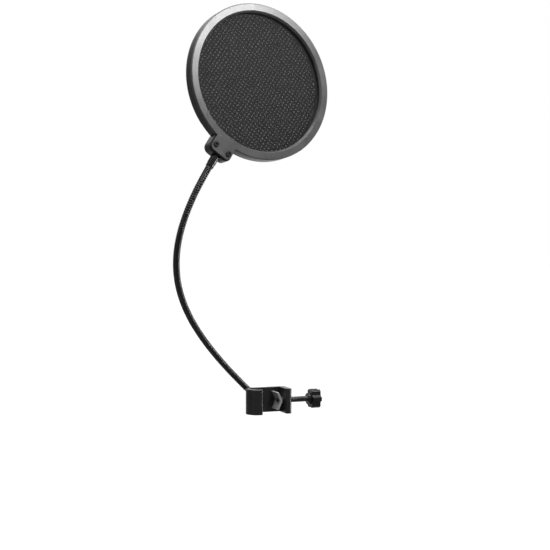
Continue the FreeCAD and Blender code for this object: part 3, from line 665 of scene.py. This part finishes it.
# ---- nets -------------------------------------------------------------------------------------
def disc_place(frame, node, turn):
    """A matrix that lays a net made flat at the origin into the place of a round CAD disc."""
    points = np.array([v.co for v in frame["nodes"][node].data.vertices], float)
    low, high = points.min(0), points.max(0)
    spread = points - (low + high) / 2
    axis = Vector(np.linalg.svd(spread, full_matrices=False)[2][2])
    if axis.y > 0:
        axis = -axis
    across = spread @ np.array(axis)
    middle = Vector((low + high) / 2) + axis * float((across.max() + across.min()) / 2)
    ear = Vector(joint(frame, "hoop_swivel")["axis"])
    up = -(ear - axis * ear.dot(axis)).normalized()
    side = up.cross(axis)
    basis = Matrix((side, up, axis)).transposed().to_4x4()
    radius = float(np.linalg.norm(spread - across[:, None] * np.array(axis), axis=1).max())
    return Matrix.Translation(middle) @ basis @ Matrix.Rotation(math.radians(turn), 4, "Z"), radius


def make_nets(frame, finishes):
    """Two nets of black nylon, each in two halves, stretched between bezel, spacer and shell."""
    tree = net_tree()
    for node, turn, seed in NETS:
        place, radius = disc_place(frame, node, turn)
        for half, side in (("left", -1.0), ("right", 1.0)):
            net = grow(tree, f"{node}_net_{half}", {
                "Radius": radius - NET_EDGE, "Spacing": THREAD_SPACING, "Thread Width": THREAD_W,
                "Thread Height": THREAD_T, "Weave": WEAVE, "Wander": WANDER, "Side": side, "Seed": seed,
                "Finish": finishes["mesh_nylon"]})
            net.data.transform(place)
            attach(net, "hoop")
            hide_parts(node)


# ---- room -------------------------------------------------------------------------------------
def softbox(name, at, look, size, watts):
    data = bpy.data.lights.new(name, "AREA")
    data.shape = "RECTANGLE"
    data.size, data.size_y = size
    data.energy = watts
    lamp = bpy.data.objects.new(name, data)
    lamp.location = at
    lamp.rotation_euler = (Vector(look) - Vector(at)).to_track_quat("-Z", "Y").to_euler()
    bpy.context.scene.collection.objects.link(lamp)


def make_floor():
    """A pale paper floor, which neither shines nor throws light on the object."""
    mesh = bpy.data.meshes.new("floor")
    corners = [(x * FLOOR_HALF, y * FLOOR_HALF, FLOOR_Z) for x, y in ((-1, -1), (1, -1), (1, 1), (-1, 1))]
    mesh.from_pydata(corners, [], [(0, 1, 2, 3)])
    floor = bpy.data.objects.new("floor", mesh)
    bpy.context.scene.collection.objects.link(floor)
    f = Finish("floor_paper")
    tone = f.mix((0.86, 0.86, 0.86), (0.9, 0.9, 0.9), f.noise(4 * MM, 3))
    mesh.materials.append(f.done(Base_Color=tone, Roughness=0.9, Specular_IOR_Level=0.2))
    floor.visible_glossy = False
    floor.visible_diffuse = False


def make_sky():
    """A white sky. As a light it is dimmer in front and at the left than the camera sees it."""
    world = bpy.data.worlds.new("studio")
    world.use_nodes = True
    bpy.context.scene.world = world
    g = Graph(world.node_tree)
    g.tree.nodes.clear()
    white = (1.0, 1.0, 1.0, 1.0)
    seen = g.add("ShaderNodeLightPath", out="Is Camera Ray")
    towards = g.add("ShaderNodeSeparateXYZ", sockets={0: g.add("ShaderNodeTexCoord", out="Generated")})
    strength = g.add("ShaderNodeMapRange", {"interpolation_type": "SMOOTHSTEP"}, {
        "Value": towards.also("Y") + towards * SKY_LEAN, "From Min": SKY_FADE[0], "From Max": SKY_FADE[1],
        "To Min": SKY_FRONT, "To Max": SKY_BACK}, out="Result")
    lit = g.add("ShaderNodeBackground", sockets={"Color": white, "Strength": strength})
    shown = g.add("ShaderNodeBackground", sockets={"Color": white, "Strength": SKY_BACK})
    both = g.add("ShaderNodeMixShader", sockets={0: seen, 1: lit, 2: shown})
    g.add("ShaderNodeOutputWorld", sockets={"Surface": both})


def make_room():
    """Floor, sky, a broad lamp overhead and the soft boxes."""
    scene = bpy.context.scene
    scene.view_settings.view_transform = "Standard"
    make_floor()
    make_sky()
    sun = bpy.data.lights.new("overhead", "SUN")
    sun.energy = SUN_STRENGTH
    sun.angle = math.radians(SUN_SPREAD)
    scene.collection.objects.link(bpy.data.objects.new("overhead", sun))
    for box in SOFTBOXES:
        softbox(*box)


def make_camera():
    data = bpy.data.cameras.new("camera")
    data.lens = CAMERA_LENS
    data.sensor_width = 36.0
    data.clip_start = 0.01
    data.clip_end = 50.0
    camera = bpy.data.objects.new("camera", data)
    camera.location = CAMERA_AT
    camera.rotation_euler = [math.radians(a) for a in CAMERA_TURN]
    bpy.context.scene.collection.objects.link(camera)
    bpy.context.scene.camera = camera


def paint_cad(frame, finishes):
    """Puts the finish of its slot, or its own, on each CAD solid."""
    for node, cad in frame["nodes"].items():
        for spot in cad.material_slots:
            slot = spot.material.name.split(".")[0]
            spot.material = finishes[OWN_FINISH.get(node, slot)]


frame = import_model()
make_camera()
make_room()
finishes = make_finishes()
paint_cad(frame, finishes)
make_gooseneck(frame, finishes)
make_screw(finishes)
make_nets(frame, finishes)
